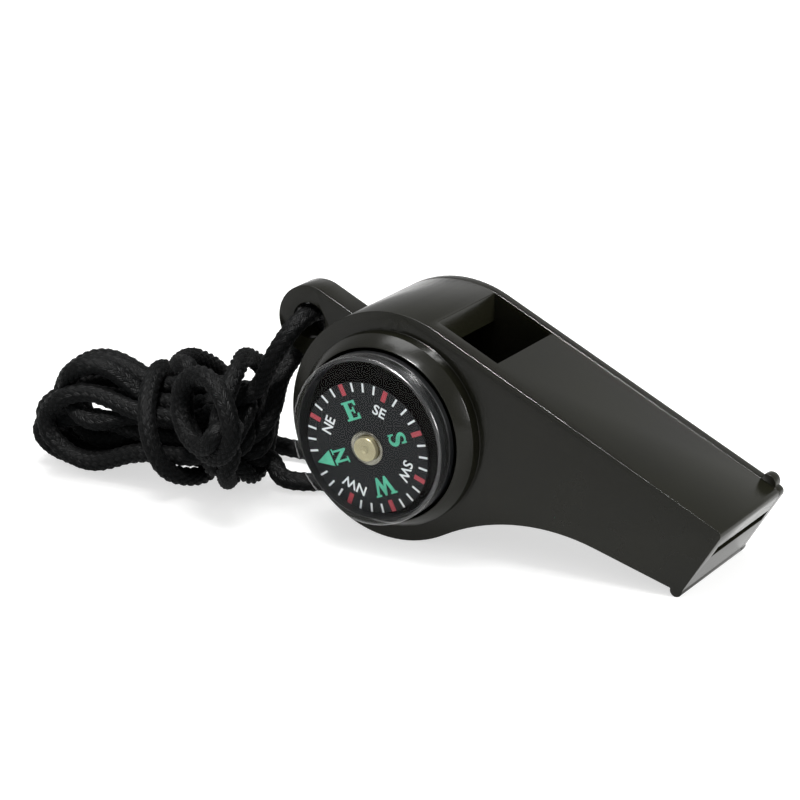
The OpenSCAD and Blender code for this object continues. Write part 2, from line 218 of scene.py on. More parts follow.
def lanyard_route():
    """All the route's points in order, and the ring's own points."""
    route = list(LEAD_NEAR)
    for i, (column, top, foot, high, low, length, left) in enumerate(BOWS):
        across = column * COLUMN
        route += [in_bundle(across, top, -.0377), in_bundle(across, top, -.0427)]
        loop = bow(across, top, foot, high, low, length, left)
        if i == len(BOWS) - 1:
            route += loop[:-2]
            break
        route += loop + [in_bundle(across, foot, -.0427), in_bundle(across, foot, -.0377)]
        if i == LOOP_AFTER:
            route += GROUND_LOOP
            continue
        next_across, next_top = BOWS[i + 1][0] * COLUMN, BOWS[i + 1][1]
        middle = ((across + next_across) / 2, (foot + next_top) / 2)
        route += [in_bundle(across + .3 * (middle[0] - across), foot - .0004, -.0363),
                  in_bundle(middle[0], middle[1], -.0351),
                  in_bundle(next_across + .3 * (middle[0] - next_across), next_top + .0010, -.0363)]
    route += turn(-150, 0, [-.0502, -.0477], [.0070, .0058], 6)
    route += turn(30, 180, [-.0465, -.0435, -.0410], [.0062, .0069, .0063], 6)
    route += turn(210, 345, [-.0417, -.0425], [.0062, .0078], 6)
    route += [(-.0425, -.0044, .0166), (-.0417, -.0076, .0160)]
    ring = [ring_point(130 + 30 * k, .0059 - .0019 * k / 19, -.0009 + .0020 * k / 19) for k in range(20)]
    route += ring
    route += [ring_point(-25, .0046, -.001), (-.0367, -.0094, .0062), (-.0367, -.0080, .0042),
              (-.0365, -.0052, .0030)]
    route += turn(200, 345, [-.0365, -.0361], [.0066, .0085], 7)
    route += turn(5, 160, [-.0345, -.0320, -.0362], [.0088, .0076, .0060], 7)
    route += [(-.0381, -.0014, .0016), (-.0371, .0004, .0034)] + LEAD_FAR
    return np.array(route), np.array(ring)


def smooth_line(points, step):
    """A centripetal Catmull-Rom curve through the points, cut into even steps along its length."""
    p = np.vstack([2 * points[0] - points[1], points, 2 * points[-1] - points[-2]])
    a, b, c, d = p[:-3, None], p[1:-2, None], p[2:-1, None], p[3:, None]
    gap = np.sqrt(np.linalg.norm(np.diff(p, axis=0), axis=1))
    t1 = gap[:-2, None, None]
    t2 = t1 + gap[1:-1, None, None]
    t3 = t2 + gap[2:, None, None]
    t = t1 + (t2 - t1) * np.linspace(0, 1, 24, endpoint=False)[None, :, None]
    a1 = a + (b - a) * t / t1
    a2 = b + (c - b) * (t - t1) / (t2 - t1)
    a3 = c + (d - c) * (t - t2) / (t3 - t2)
    b1 = a1 + (a2 - a1) * t / t2
    b2 = a2 + (a3 - a2) * (t - t1) / (t3 - t1)
    line = (b1 + (b2 - b1) * (t - t1) / (t2 - t1)).reshape(-1, 3)
    line = np.vstack([line, points[-1:]])
    run = np.r_[0, np.cumsum(np.linalg.norm(np.diff(line, axis=0), axis=1))]
    even = np.linspace(0, run[-1], int(round(run[-1] / step)) + 1)
    return np.stack([np.interp(even, run, line[:, k]) for k in range(3)], 1)


# What the cord may not enter: the drum, the boss and the capsules, as discs
# round the whistle's axis (half width, radius), and the ground
DRUM_AXIS = np.array([-0.0110483, 0.0138])
KEEP_OUT = [(0.00815, 0.0138), (0.01125, 0.0116), (0.0141, 0.0100)]


# How strongly each round pulls the cord back to its route, where it is held
# and where it is free, straightens it and pushes touching strands apart
HELD_PULL, FREE_PULL, STIFFNESS, SHOVE = 0.25, 0.02, 0.25, 0.45
FIXED_POINTS = 6
STRAND_CLEAR = 0.0001


def settle(line, firm, rounds=160):
    """Relaxes the cord: each round straightens it, draws it back to its route, pushes stretches nearer than a
    diameter apart, keeps it off the whistle and the ground and mends its steps' lengths. Two passes of
    (before + 2 * here + after) / 4 then ease its bends, and let crossing strands press in a little."""
    q, home, count = line.copy(), line.copy(), len(line)
    length = np.linalg.norm(np.diff(q, axis=0), axis=1)
    free = np.ones((count, 1))
    free[:FIXED_POINTS] = free[-FIXED_POINTS:] = 0
    pull = np.where(firm, HELD_PULL, FREE_PULL)[:, None]
    order = np.arange(count)
    apart = np.abs(order[:, None] - order[None, :]) > 4
    need = CORD_D * 1.02
    for _ in range(rounds):
        bend = np.zeros_like(q)
        bend[1:-1] = (q[:-2] + q[2:]) / 2 - q[1:-1]
        change = np.zeros_like(q)
        change[1:-1] = (bend[:-2] + bend[2:]) / 2 - bend[1:-1]
        q += free * (pull * (home - q) - STIFFNESS * change)
        gap = q[:, None] - q[None]
        far = np.sqrt((gap ** 2).sum(-1)) + 1e-12
        hit = (far < need) & apart
        shove = np.where(hit, (need - far) * SHOVE / far, 0)[..., None] * gap
        q += free * shove.sum(1) / np.sqrt(np.maximum(hit.sum(1), 1))[:, None]
        for half_width, radius in KEEP_OUT:
            off = q[:, [0, 2]] - DRUM_AXIS
            dist = np.linalg.norm(off, axis=1)
            clear_of = radius + CORD_D / 2 + STRAND_CLEAR
            inside = (np.abs(q[:, 1]) < half_width + CORD_D / 2) & (dist < clear_of) & (free[:, 0] > 0)
            q[np.ix_(inside, [0, 2])] = DRUM_AXIS + off[inside] / dist[inside, None] * clear_of
        q[:, 2] = np.where(free[:, 0] > 0, np.maximum(q[:, 2], CORD_D / 2 + STRAND_CLEAR), q[:, 2])
        for first in (0, 1):
            a = np.arange(first, count - 1, 2)
            reach = q[a + 1] - q[a]
            now = np.linalg.norm(reach, axis=1)
            mend = ((now - length[a]) / now)[:, None] * reach
            share = np.maximum(free[a] + free[a + 1], 1e-9)
            q[a] += mend * free[a] / share
            q[a + 1] -= mend * free[a + 1] / share
    for _ in range(2):
        q[1:-1] = (q[:-2] + 2 * q[1:-1] + q[2:]) / 4
    return q


route, ring = lanyard_route()
line = smooth_line(route, CORD_STEP)
ring_line = smooth_line(ring, CORD_STEP / 2)
firm = np.linalg.norm(line[:, None] - ring_line[None], axis=2).min(1) < CORD_STEP / 2
firm[:30] = firm[-40:] = True
line = settle(line, firm)

# The braid: sixteen strands cross in pairs, eight diamonds round the cord
# and one every 1.2 mm along it, each swelling a little between crossings.
DIAMONDS_ROUND = 8
DIAMOND_LONG = 0.0012
SIDES = 32
SWELL = 0.00024


def braided_tube(path, radius):
    """A tube along the path, its side vector carried without twist. At u round and v along, the surface
    stands at radius + SWELL * (|sin pi(n u + v)| |sin pi(n u - v)|) ** 0.5, less a little to keep the mean."""
    fine = smooth_line(path, DIAMOND_LONG / 4)
    along = np.gradient(fine, axis=0)
    along /= np.linalg.norm(along, axis=1)[:, None]
    side = np.zeros_like(fine)
    side[0] = np.cross(along[0], UP)
    side[0] /= np.linalg.norm(side[0])
    for i in range(1, len(fine)):
        s = side[i - 1] - along[i] * (side[i - 1] @ along[i])
        side[i] = s / np.linalg.norm(s)
    other = np.cross(along, side)
    u = np.arange(SIDES) / SIDES
    v = np.arange(len(fine)) * 0.25
    pillow = np.abs(np.sin(np.pi * (DIAMONDS_ROUND * u[None] + v[:, None]))
                    * np.sin(np.pi * (DIAMONDS_ROUND * u[None] - v[:, None]))) ** 0.5
    r = radius - 0.6 * SWELL + SWELL * pillow
    ring_verts = (fine[:, None] + (r * np.cos(2 * np.pi * u))[..., None] * side[:, None]
                  + (r * np.sin(2 * np.pi * u))[..., None] * other[:, None])
    n = len(fine)
    i, k = np.meshgrid(np.arange(n - 1), np.arange(SIDES), indexing="ij")
    nxt = (k + 1) % SIDES
    quads = np.stack([i * SIDES + k, i * SIDES + nxt, (i + 1) * SIDES + nxt, (i + 1) * SIDES + k], -1)
    return fine, ring_verts.reshape(-1, 3), quads.reshape(-1, 4), v


# Solution-dyed polyester braid: matt black yarn, a little paler on the worn
# swells, with painted shade darkening the crossings between them. The fluff is
# drawn 0.42 mm coarse, several times its real size, so that it shows.
FLUFF_MM = 0.4167
braid_mat, braid_out = blank_material("black_polyester_braid")
braid_uv = add(braid_mat, "ShaderNodeUVMap", uv_map="braid")
braid_split = add(braid_mat, "ShaderNodeSeparateXYZ", [(braid_uv, 0, 0)])
lean = []
for sign in (1, -1):
    across = add(braid_mat, "ShaderNodeMath", [(braid_split, 0, 0)], operation="MULTIPLY")
    across.inputs[1].default_value = DIAMONDS_ROUND
    turned = add(braid_mat, "ShaderNodeMath", [(braid_split, 1, 0), (across, 0, 2)], operation="MULTIPLY_ADD")
    turned.inputs[1].default_value = sign
    lean.append(turned)
# Each diamond belongs to the strand on top: the parity of both strand counts
floors = [add(braid_mat, "ShaderNodeMath", [(t, 0, 0)], operation="FLOOR") for t in lean]
both = add(braid_mat, "ShaderNodeMath", [(floors[0], 0, 0), (floors[1], 0, 1)], operation="ADD")
parity = add(braid_mat, "ShaderNodeMath", [(both, 0, 0)], operation="FLOORED_MODULO")
parity.inputs[1].default_value = 2
YARNS = 3


def strand_wave(lean_node, waves):
    """The height across a strand of a number of waves: |sin(pi * waves * lean)|."""
    scaled = add(braid_mat, "ShaderNodeMath", [(lean_node, 0, 0)], operation="MULTIPLY")
    scaled.inputs[1].default_value = waves * math.pi
    wave = add(braid_mat, "ShaderNodeMath", [(scaled, 0, 0)], operation="SINE")
    return add(braid_mat, "ShaderNodeMath", [(wave, 0, 0)], operation="ABSOLUTE")


yarn = [strand_wave(t, YARNS) for t in lean]
fibres = add(braid_mat, "ShaderNodeMix", [(parity, 0, 0), (yarn[0], 0, 2), (yarn[1], 0, 3)])
swells = [strand_wave(t, 1) for t in lean]
swell = add(braid_mat, "ShaderNodeMath", [(swells[0], 0, 0), (swells[1], 0, 1)], operation="MULTIPLY")
braid_place = add(braid_mat, "ShaderNodeTexCoord")
fluff = add(braid_mat, "ShaderNodeTexNoise", [(braid_place, "Object", "Vector")],
            Scale=1000 / FLUFF_MM, Detail=3.0, Roughness=0.6)
# Tone mask: paler on the worn swells, darker in the crossings as painted shade
worn_swells_crease_shade = add(braid_mat, "ShaderNodeMath", [(swell, 0, 0), (fluff, 0, 1)], operation="MULTIPLY")
braid_tone = add(braid_mat, "ShaderNodeValToRGB", [(worn_swells_crease_shade, 0, 0)])
braid_tone.color_ramp.elements[0].color = linear("#020303")
braid_tone.color_ramp.elements[0].position = 0.08
braid_tone.color_ramp.elements[1].color = linear("#080a0c")
braid_tone.color_ramp.elements[1].position = 0.62
relief = add(braid_mat, "ShaderNodeMath", [(fibres, 0, 0), (fluff, 0, 1)], operation="ADD")
braid_bump = add(braid_mat, "ShaderNodeBump", [(relief, 0, "Height")], Strength=0.8, Distance=0.00006)
braid_skin = add(braid_mat, "ShaderNodeBsdfPrincipled",
                 [(braid_tone, 0, "Base Color"), (braid_bump, 0, "Normal")],
                 Roughness=0.55, Sheen_Weight=0.02, Sheen_Roughness=0.4, Specular_IOR_Level=0.06)
braid_mat.node_tree.links.new(braid_skin.outputs[0], braid_out.inputs[0])

path, cord_verts, cord_quads, cord_v = braided_tube(line, CORD_D / 2)
last = len(path) - 1
caps = [list(range(SIDES))[::-1], [last * SIDES + k for k in range(SIDES)]]
lanyard = put("braided_lanyard", cord_verts, list(cord_quads) + caps, braid_mat)
layer = lanyard.data.uv_layers.new(name="braid")
corner_u = np.stack([np.arange(SIDES), np.arange(SIDES) + 1, np.arange(SIDES) + 1, np.arange(SIDES)], -1) / SIDES
i = np.arange(last)[:, None, None]
corner_v = np.array([0, 0, 1, 1])[None, None] * 0.25 + i * 0.25
uv = np.zeros((len(cord_quads) * 4 + 2 * SIDES, 2))
uv[:len(cord_quads) * 4, 0] = np.broadcast_to(corner_u[None], (last, SIDES, 4)).reshape(-1)
uv[:len(cord_quads) * 4, 1] = np.broadcast_to(corner_v, (last, SIDES, 4)).reshape(-1)
layer.data.foreach_set("uv", uv.astype(np.float32).reshape(-1))
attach(lanyard, "root")
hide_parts("lanyard_lead", "lanyard_bows", "lanyard_wrap", "lanyard_tail")

# Whistle body: one injection-moulded shell in dark olive ABS, open on the
# thermometer side, which its cover closes. Every edge has the small radius
# of a mould.
EDGE_R = 0.00028
# Glossy ABS is dark, with soft streaks of gloss, a slight orange peel and a
# finer grain of the mould's own surface
PEEL_MM, CLOUD_MM, GRAIN_MM = 1.111, 14.29, 0.2778
abs_mat, abs_out = blank_material("glossy_olive_abs")
abs_place = add(abs_mat, "ShaderNodeTexCoord")
peel = add(abs_mat, "ShaderNodeTexNoise", [(abs_place, "Object", "Vector")],
           Scale=1000 / PEEL_MM, Detail=2.0, Roughness=0.5)
cloudy = add(abs_mat, "ShaderNodeTexNoise", [(abs_place, "Object", "Vector")],
             Scale=1000 / CLOUD_MM, Detail=4.0, Roughness=0.55)
abs_tone = add(abs_mat, "ShaderNodeValToRGB", [(cloudy, 0, 0)])
abs_tone.color_ramp.elements[0].color = linear("#10100a")
abs_tone.color_ramp.elements[0].position = 0.3
abs_tone.color_ramp.elements[1].color = linear("#15150d")
abs_tone.color_ramp.elements[1].position = 0.7
abs_gloss = add(abs_mat, "ShaderNodeMapRange", [(cloudy, 0, "Value")], To_Min=0.17, To_Max=0.26)
mould_grain = add(abs_mat, "ShaderNodeTexNoise", [(abs_place, "Object", "Vector")],
                  Scale=1000 / GRAIN_MM, Detail=2.0)
abs_peel = add(abs_mat, "ShaderNodeBump", [(peel, 0, "Height")], Strength=0.2, Distance=0.00003)
abs_bump = add(abs_mat, "ShaderNodeBump", [(mould_grain, 0, "Height"), (abs_peel, 0, "Normal")],
               Strength=0.3, Distance=0.000012)
abs_skin = add(abs_mat, "ShaderNodeBsdfPrincipled",
               [(abs_tone, 0, "Base Color"), (abs_gloss, 0, "Roughness"), (abs_bump, 0, "Normal")],
               Specular_IOR_Level=0.2)
abs_mat.node_tree.links.new(abs_skin.outputs[0], abs_out.inputs[0])


def moulded(name, node, material, radius, body="root"):
    """A merged copy of a CAD node with rounded edges, which stands for the node."""
    source = bmesh.new()
    source.from_mesh(nodes[node].data)
    bmesh.ops.remove_doubles(source, verts=source.verts, dist=2e-6)
    bmesh.ops.dissolve_limit(source, angle_limit=math.radians(0.6), verts=source.verts, edges=source.edges)
    mesh = bpy.data.meshes.new(name)
    source.to_mesh(mesh)
    source.free()
    mesh.materials.clear()
    mesh.materials.append(material)
    mesh.shade_smooth()
    piece = bpy.data.objects.new(name, mesh)
    bpy.context.scene.collection.objects.link(piece)
    edge = piece.modifiers.new("edge", "BEVEL")
    edge.width = radius
    edge.segments = 3
    edge.limit_method = "ANGLE"
    edge.angle_limit = math.radians(24)
    edge.harden_normals = True
    edge.use_clamp_overlap = True
    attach(piece, body)
    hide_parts(node)
    return piece


shell = moulded("moulded_body", "main_moulding", abs_mat, EDGE_R)
cover = moulded("moulded_cover", "side_cover", abs_mat, EDGE_R)

# The whistle's frames of reference in metres: the compass side faces -y and
# the thermometer side +y, both pitched with the case on its drum and lip.
PITCH = math.radians(26.2145)
ALONG = np.array([math.cos(PITCH), 0, -math.sin(PITCH)])
UPRIGHT = np.array([math.sin(PITCH), 0, math.cos(PITCH)])
HALF_CASE = 0.00815
COMPASS = (np.array([DRUM_AXIS[0], -HALF_CASE, DRUM_AXIS[1]]), ALONG, UPRIGHT, np.array([0, -1.0, 0]))
THERMOMETER = (np.array([DRUM_AXIS[0], HALF_CASE, DRUM_AXIS[1]]), -ALONG, UPRIGHT, np.array([0, 1.0, 0]))


def rounded(corners, steps=5):
    """A closed outline of (radius, height, rounding) corners in mm, each cut by an arc of its rounding
    with a point held close by on both sides, so that the flats between them shade flat."""
    p = np.array(corners, float)[:, :2]
    out = []
    for i, (_, _, r) in enumerate(corners):
        back, on = p[i - 1] - p[i], p[(i + 1) % len(p)] - p[i]
        if not r:
            out.append(p[i])
            continue
        back, on = back / np.linalg.norm(back), on / np.linalg.norm(on)
        half = math.acos(back @ on) / 2
        start, end = p[i] + back * r / math.tan(half), p[i] + on * r / math.tan(half)
        middle = p[i] + (back + on) / np.linalg.norm(back + on) * r / math.sin(half)
        sweep = math.pi - 2 * half
        t = np.linspace(0, 1, steps)[:, None]
        arc = (np.sin((1 - t) * sweep) * (start - middle) + np.sin(t * sweep) * (end - middle)) / math.sin(sweep)
        out += [start + back * 0.02, *(middle + arc), end + on * 0.02]
    return np.array(out)


def lathe(name, outline, frame_of, material, node, body="root", sides=144):
    """Turns a closed outline of (radius, height) in mm about a frame's last vector:
    p(t) = origin + r (cos t * first + sin t * second) + h * last. Points on the axis are merged."""
    origin, first, second, last = frame_of
    t = np.linspace(0, 2 * np.pi, sides, endpoint=False)[None, :, None]
    r, h = outline[:, 0, None, None] * MM, outline[:, 1, None, None] * MM
    verts = origin + r * (np.cos(t) * first + np.sin(t) * second) + h * last
    m, k = np.meshgrid(np.arange(len(outline)), np.arange(sides), indexing="ij")
    m1, k1 = (m + 1) % len(outline), (k + 1) % sides
    quads = np.stack([m * sides + k, m * sides + k1, m1 * sides + k1, m1 * sides + k], -1).reshape(-1, 4)
    piece = put(name, verts.reshape(-1, 3), quads, material)
    merged = bmesh.new()
    merged.from_mesh(piece.data)
    bmesh.ops.remove_doubles(merged, verts=merged.verts, dist=1e-8)
    bmesh.ops.recalc_face_normals(merged, faces=merged.faces)
    merged.to_mesh(piece.data)
    merged.free()
    piece.data.shade_smooth()
    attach(piece, body)
    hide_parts(node)
    return piece


def speckled(name, low, high, patch_mm, rough=(0.3, 0.4), bump=0.1, grain_mm=1.667, **values):
    """An opaque material whose tone and gloss drift over patches of a size in mm, with a fine grain in relief."""
    material, out = blank_material(name)
    place = add(material, "ShaderNodeTexCoord")
    drift = add(material, "ShaderNodeTexNoise", [(place, "Object", "Vector")], Scale=1000 / patch_mm, Detail=4.0)
    fine = add(material, "ShaderNodeTexNoise", [(place, "Object", "Vector")], Scale=1000 / grain_mm, Detail=3.0)
    tone = add(material, "ShaderNodeValToRGB", [(drift, 0, 0)])
    tone.color_ramp.elements[0].color = linear(low)
    tone.color_ramp.elements[0].position = 0.3
    tone.color_ramp.elements[1].color = linear(high)
    tone.color_ramp.elements[1].position = 0.7
    gloss = add(material, "ShaderNodeMapRange", [(drift, 0, "Value")], To_Min=rough[0], To_Max=rough[1])
    relief = add(material, "ShaderNodeBump", [(fine, 0, "Height")], Strength=bump, Distance=0.00005)
    skin = add(material, "ShaderNodeBsdfPrincipled",
               [(tone, 0, "Base Color"), (gloss, 0, "Roughness"), (relief, 0, "Normal")], **values)
    material.node_tree.links.new(skin.outputs[0], out.inputs[0])
    return material


HAZE_MM = 2.381


def clear(name, tint, rough, shine):
    """A clear skin without refraction: it lets light straight through, and its outer face adds a mirror image
    as strong as Fresnel's share times its shine."""
    material, out = blank_material(name)
    place = add(material, "ShaderNodeTexCoord")
    haze = add(material, "ShaderNodeTexNoise", [(place, "Object", "Vector")], Scale=1000 / HAZE_MM, Detail=3.0)
    gloss = add(material, "ShaderNodeMapRange", [(haze, 0, "Value")], To_Min=rough, To_Max=2.5 * rough)
    edge = add(material, "ShaderNodeFresnel", IOR=1.45)
    facing = add(material, "ShaderNodeNewGeometry")
    front = add(material, "ShaderNodeMix", [(facing, "Backfacing", 0), (edge, 0, 2)], B=0.0)
    sheen = add(material, "ShaderNodeMath", [(front, 0, 0)], operation="MULTIPLY")
    sheen.inputs[1].default_value = shine
    through = add(material, "ShaderNodeBsdfTransparent", Color=linear(tint))
    mirror = add(material, "ShaderNodeBsdfGlossy", [(gloss, 0, "Roughness")], Color=(1, 1, 1, 1))
    skin = add(material, "ShaderNodeMixShader", [(sheen, 0, 0), (through, 0, 1), (mirror, 0, 2)])
    material.node_tree.links.new(skin.outputs[0], out.inputs[0])
    return material


# Sound ball: a loose ball of pressed cork rolls in the chamber and warbles
# the note. Matt granules of many browns, 1.1 mm wide, between dark seams.
GRANULE_MM = 1.111
cork_mat, cork_out = blank_material("pressed_cork")
cork_place = add(cork_mat, "ShaderNodeTexCoord")
granules = add(cork_mat, "ShaderNodeTexVoronoi", [(cork_place, "Object", "Vector")],
               Scale=1000 / GRANULE_MM)
seams = add(cork_mat, "ShaderNodeTexVoronoi", [(cork_place, "Object", "Vector")],
            feature="DISTANCE_TO_EDGE", Scale=1000 / GRANULE_MM)
granule_tone = add(cork_mat, "ShaderNodeValToRGB", [(granules, "Color", 0)])
granule_tone.color_ramp.elements[0].color = linear("#7d5833")
granule_tone.color_ramp.elements[1].color = linear("#b08a5a")
seam_dark = add(cork_mat, "ShaderNodeMapRange", [(seams, 0, "Value")], From_Max=0.12)
cork_tone = add(cork_mat, "ShaderNodeMix", [(seam_dark, 0, 0), (granule_tone, 0, 7)], data_type="RGBA")
cork_tone.inputs[6].default_value = linear("#4a3018")
cork_bump = add(cork_mat, "ShaderNodeBump", [(seam_dark, 0, "Height")], Strength=0.6, Distance=0.0001)
cork_skin = add(cork_mat, "ShaderNodeBsdfPrincipled", [(cork_tone, 2, "Base Color"), (cork_bump, 0, "Normal")],
                Roughness=0.85)
cork_mat.node_tree.links.new(cork_skin.outputs[0], cork_out.inputs[0])

PEA_R = 4.0
half_turn = np.linspace(-np.pi / 2, np.pi / 2, 49)
pea_low, pea_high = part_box("pea")
pea_frame = ((np.array(pea_low) + np.array(pea_high)) / 2, ALONG, np.array([0, 1.0, 0]), -UPRIGHT)
lathe("cork_pea", PEA_R * np.stack([np.abs(np.cos(half_turn)).round(9), np.sin(half_turn)], 1), pea_frame,
      cork_mat, "pea", sides=72)

# Compass capsule: a black moulded cup with a spigot for the pin, closed by a
# clear cap. A thin black ring inside the cap's skirt is painted shade: it
# darkens what shows through the skirt. Satin ABS scatters what it mirrors;
# polished acrylic is bright only at its rim.
cup_mat = speckled("satin_black_abs", "#060708", "#0b0c0e", 6.25, rough=(0.38, 0.48), bump=0.0,
                   Specular_IOR_Level=0.2)
CAPSULE_R, CUP_R, SEAM_H, FRONT_H, GLASS_H = 10.0, 9.45, 3.95, 5.95, 5.35
RIM_R, SKIRT_SHADE_TOP = 9.6, 5.33
# Thin black ring inside the cap's skirt: painted shade for what shows through the clear skirt
SKIRT_SHADE_RING = [(CUP_R - .01, SEAM_H, .02), (CUP_R - .01, SKIRT_SHADE_TOP, .01), (CUP_R - .07, SKIRT_SHADE_TOP, .01),
          (CUP_R - .07, SEAM_H, .02), (CUP_R, SEAM_H - .1, .02)]
lathe("compass_capsule_cup", rounded([
    (0, -.9, 0), (CAPSULE_R, -.9, .15), (CAPSULE_R, SEAM_H, .12), *SKIRT_SHADE_RING, (CUP_R, 0, .1),
    (1.35, 0, .05), (1.35, .9, .08), (.5, .9, .04), (.5, 0, .02), (0, 0, 0)]),
    COMPASS, cup_mat, "compass_cup")
lens_mat = clear("clear_acrylic", "#fdfefe", 0.03, 0.2)
rim_mat = clear("polished_acrylic_rim", "#fdfefe", 0.12, 1.6)
lens_outline = rounded([
    (0, FRONT_H, 0), (0, GLASS_H, 0), (CUP_R, GLASS_H, .15), (CUP_R, SEAM_H, .05), (CAPSULE_R, SEAM_H, .12),
    (CAPSULE_R, FRONT_H, .35)])


def capsule_lens(name, side, node):
    """A clear cap whose faces past RIM_R from its axis, the front edge and skirt, shine more than its flat front."""
    lens = lathe(name, lens_outline, side, lens_mat, node)
    lens.data.materials.append(rim_mat)
    corners = np.zeros(len(lens.data.vertices) * 3)
    lens.data.vertices.foreach_get("co", corners)
    off = corners.reshape(-1, 3) - side[0]
    reach = np.linalg.norm(off - np.outer(off @ side[3], side[3]), axis=1)
    outer = [int(all(reach[v] > RIM_R * MM for v in face.vertices)) for face in lens.data.polygons]
    lens.data.polygons.foreach_set("material_index", outer)


capsule_lens("compass_capsule_lens", COMPASS, "compass_lens")

# Pivot: a turned steel pin with a blunt ground point, pressed into the cup.
# Bright, with the slightly broken mirror image of a turned surface.
pin_mat = speckled("turned_steel", "#8d9094", "#a4a8ab", 3.333, rough=(0.22, 0.34), Metallic=1.0)
lathe("steel_pivot_pin", rounded([
    (0, 0, 0), (.45, 0, .05), (.45, 2.9, .04), (.08, 4.85, .03), (0, 4.93, 0)], steps=4),
    COMPASS, pin_mat, "pivot_pin", sides=48)

# Compass card: a thin black disc with a matt printed face, hung on a nickel
# hub whose pale brass cap holds the jewel. All of it turns on the pin. Matt
# ink mirrors nothing; the plated ring is bright and the worn cap duller.
joint = frame["joints"][0]
card_normal = np.array(joint["axis"]) / np.linalg.norm(joint["axis"])
card_right = ALONG - card_normal * (ALONG @ card_normal)
card_right /= np.linalg.norm(card_right)
CARD = (np.array(joint["pos_m"]), card_right, np.cross(card_normal, card_right), card_normal)
CARD_R, HUB_R, HUB_HOLE_R = 8.0, 2.1, 1.6
card_mat = speckled("matt_black_print", "#07080b", "#0c0e12", 4.167, rough=(0.5, 0.62), bump=0.15,
                    Specular_IOR_Level=0.12)
lathe("card_disc", rounded([
    (HUB_HOLE_R, -.1, .02), (CARD_R, -.1, .04), (CARD_R, .1, .04), (HUB_HOLE_R, .1, .02)]),
    CARD, card_mat, "compass_card", body="compass_rotor")
nickel_mat = speckled("bright_nickel_plate", "#5f5c54", "#8f8b80", 2.0, rough=(0.1, 0.2), bump=0.08,
                      Metallic=1.0)
lathe("nickel_hub", rounded([
    (HUB_HOLE_R - .13, .1, .02), (HUB_R, .1, .02), (HUB_R, .2, .04), (HUB_R - .22, .3, .05), (1.49, .22, .02),
    (1.48, .45, .01), (0, .45, 0), (0, .4, 0), (HUB_HOLE_R - .14, .4, .01)]),
    CARD, nickel_mat, "card_hub", body="compass_rotor", sides=96)
cap_mat = speckled("pale_brass_cap", "#928a6e", "#a89f80", 2.0, rough=(0.3, 0.42), bump=0.06, Metallic=0.6)
lathe("jewel_cap_sleeve", rounded([
    (0, .46, 0), (1.46, .46, .01), (1.5, .23, .01), (1.55, .23, .01), (1.45, .68, .08), (.5, .69, .05),
    (.3, .56, .03), (0, .55, 0)]),
    CARD, cap_mat, "jewel_cap", body="compass_rotor", sides=96)

# Magnet: a ground steel bar with round ends under the card, seen only from
# behind or through the gap round the card.
magnet_mat = speckled("ground_magnet_steel", "#4c4f53", "#63676b", 2.857, rough=(0.35, 0.5), Metallic=0.9)
magnet = moulded("magnet_bar", "card_magnet", magnet_mat, 0.0001, body="compass_rotor")

# Card print: screen-printed points, ticks and letters, a film of ink on the
# card's face. North is the green arrow; red bars mark the other points. The
# inks are flat and matt, with hardly a change of tone.
INK_T = 0.025
CARD_FACE = 0.1
NORTH = -130.7
SERIF = {
    "E": [[(0, 0), (.84, 0), (.84, .30), (.74, .30), (.68, .11), (.38, .11), (.38, .45), (.52, .45), (.56, .33),
           (.64, .33), (.64, .67), (.56, .67), (.52, .55), (.38, .55), (.38, .89), (.66, .89), (.72, .72),
           (.82, .72), (.82, 1), (0, 1), (0, .90), (.12, .90), (.12, .10), (0, .10)]],
    "N": [[(0, 0), (.38, 0), (.38, .09), (.26, .09), (.26, .70), (.80, 0), (.90, 0), (.90, .91), (1.02, .91),
           (1.02, 1), (.66, 1), (.66, .91), (.78, .91), (.78, .36), (.30, 1), (0, 1), (0, .91), (.13, .91),
           (.13, .09), (0, .09)]],
    "W": [[(0, 1), (.40, 1), (.40, .90), (.31, .90), (.47, .38), (.66, 1), (.76, 1), (.93, .38), (1.10, .90),
           (1.0, .90), (1.0, 1), (1.34, 1), (1.34, .90), (1.24, .90), (.97, 0), (.86, 0), (.68, .52), (.48, 0),
           (.37, 0), (.10, .90), (0, .90)]],
}


def ribbon(points, widths):
    """A flat strip along a smooth line through the points, as wide as the widths along it."""
    line = smooth_line(np.array([(x, y, 0) for x, y in points], float), 0.04)[:, :2]
    ahead = np.gradient(line, axis=0)
    ahead /= np.linalg.norm(ahead, axis=1)[:, None]
    wide = np.interp(np.linspace(0, 1, len(line)), np.linspace(0, 1, len(widths)), widths)[:, None] / 2
    out = np.stack([-ahead[:, 1], ahead[:, 0]], 1)
    return [tuple(p) for p in np.vstack([line + out * wide, (line - out * wide)[::-1]])]


SERIF["S"] = [ribbon([(.66, .80), (.56, .92), (.42, .95), (.27, .90), (.20, .77), (.27, .64), (.43, .53), (.60, .42),
                      (.66, .28), (.59, .12), (.43, .05), (.27, .08), (.15, .22)],
                     [.08, .10, .15, .19, .22, .24, .22, .19, .15, .10, .08]),
              [(.62, .68), (.71, .68), (.71, .98), (.62, .98)], [(.10, .02), (.19, .02), (.19, .34), (.10, .34)]]


def film_of(curve):
    """The points and faces of a filled flat curve, thickened; the curve itself is removed."""
    holder = bpy.data.objects.new("film", curve)
    bpy.context.scene.collection.objects.link(holder)
    ready = holder.evaluated_get(bpy.context.evaluated_depsgraph_get())
    mesh = bpy.data.meshes.new_from_object(ready)
    verts = np.zeros(len(mesh.vertices) * 3)
    mesh.vertices.foreach_get("co", verts)
    faces = [list(f.vertices) for f in mesh.polygons]
    bpy.data.objects.remove(holder)
    bpy.data.meshes.remove(mesh)
    return verts.reshape(-1, 3), faces


